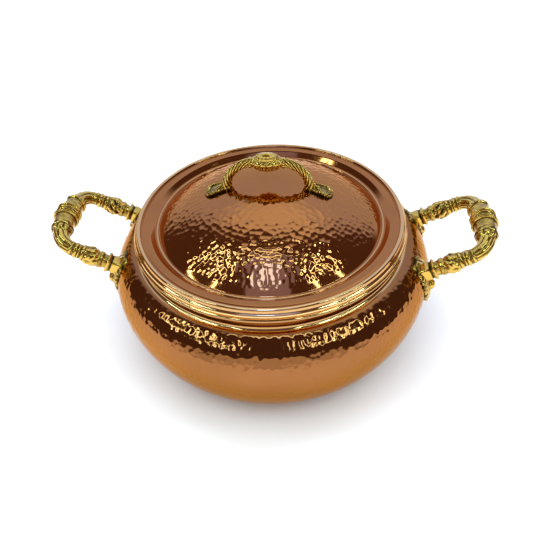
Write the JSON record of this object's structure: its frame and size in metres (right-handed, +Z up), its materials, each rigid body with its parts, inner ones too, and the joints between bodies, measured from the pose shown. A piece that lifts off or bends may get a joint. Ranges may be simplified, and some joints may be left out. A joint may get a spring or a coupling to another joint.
{
  "type": "soup kettle",
  "caption": "Squat round hammered copper kettle for hot food, with ornate cast brass side handles and a domed lift-off lid under a twisted-rope bail.",
  "frame": {"origin": "centre of the flat base, on the surface the kettle stands on", "axes": "+Z up, +X through the right handle, -Y is the front"},
  "size_m": [0.4232, 0.31, 0.1953],
  "materials": {
    "copper": "hand-hammered, polished copper; rims and borders smooth",
    "lining": "bright satin lining",
    "brass": "cast brass, polished, dark in the recesses",
    "steel": "plain steel"
  },
  "bodies": {
    "pot": {"pot_shell": "copper", "pot_lining": "lining", "rim_wire": "steel", "right_front_foot": "brass", "right_rear_foot": "brass", "left_front_foot": "brass", "left_rear_foot": "brass", "right_handle_loop": "brass", "left_handle_loop": "brass", "handle_rivets": "brass", "rivet_burrs": "copper"},
    "lid": {"lid_shell": "copper", "lid_lining": "lining", "lid_skirt": "copper", "lid_edge_wire": "steel", "right_bail_foot": "brass", "left_bail_foot": "brass", "bail_boss": "brass", "right_bail_arm": "brass", "left_bail_arm": "brass", "bail_screws": "steel", "bail_washers": "steel"}
  },
  "joints": [
    {"name": "lid_lift", "type": "slide", "parent": "pot", "child": "lid", "axis": [0, 0, 1], "range_m": [0, 0.2]}
  ]
}
